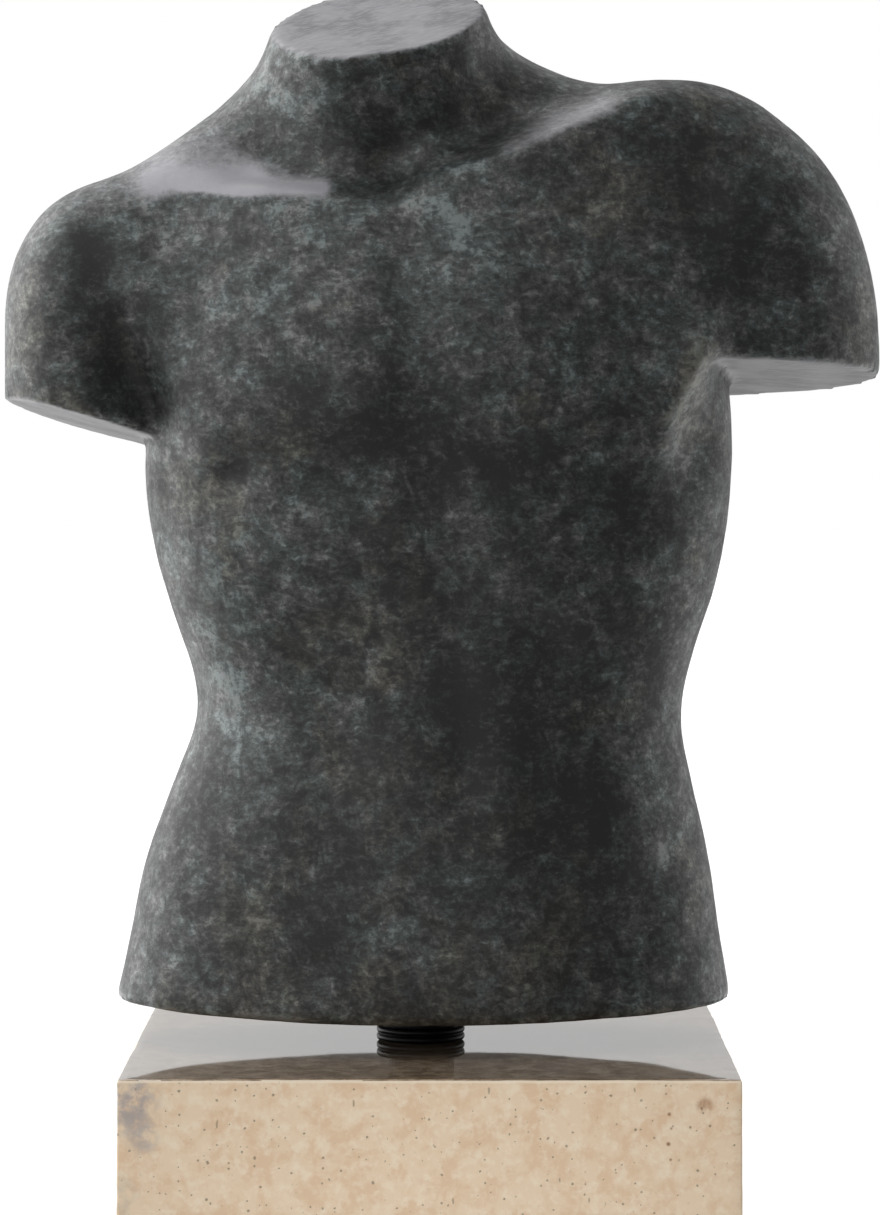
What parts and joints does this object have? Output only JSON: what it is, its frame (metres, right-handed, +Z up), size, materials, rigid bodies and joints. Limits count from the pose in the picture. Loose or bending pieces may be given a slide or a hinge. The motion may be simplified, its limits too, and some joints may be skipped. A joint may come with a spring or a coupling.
{
  "type": "torso sculpture",
  "caption": "Bronze male torso cut flat at the neck, arms and hips, held just above a square block of pale stone by a short dark rod with a collar.",
  "frame": {"origin": "centre of the underside of the plinth", "axes": "+Z up, the torso's front faces -Y, and +X is to the right of someone who looks at its front"},
  "size_m": [0.3295, 0.222, 0.4994],
  "materials": {
    "patinated_bronze": "cast bronze with a dark green-black mottled patina, semi-matte",
    "blackened_steel": "turned steel, blackened, satin",
    "honed_limestone": "beige fossil limestone, smooth sides and a polished top"
  },
  "bodies": {
    "root": {"torso": "patinated_bronze", "mounting_rod": "blackened_steel", "rod_collar": "blackened_steel", "plinth": "honed_limestone"}
  },
  "joints": []
}
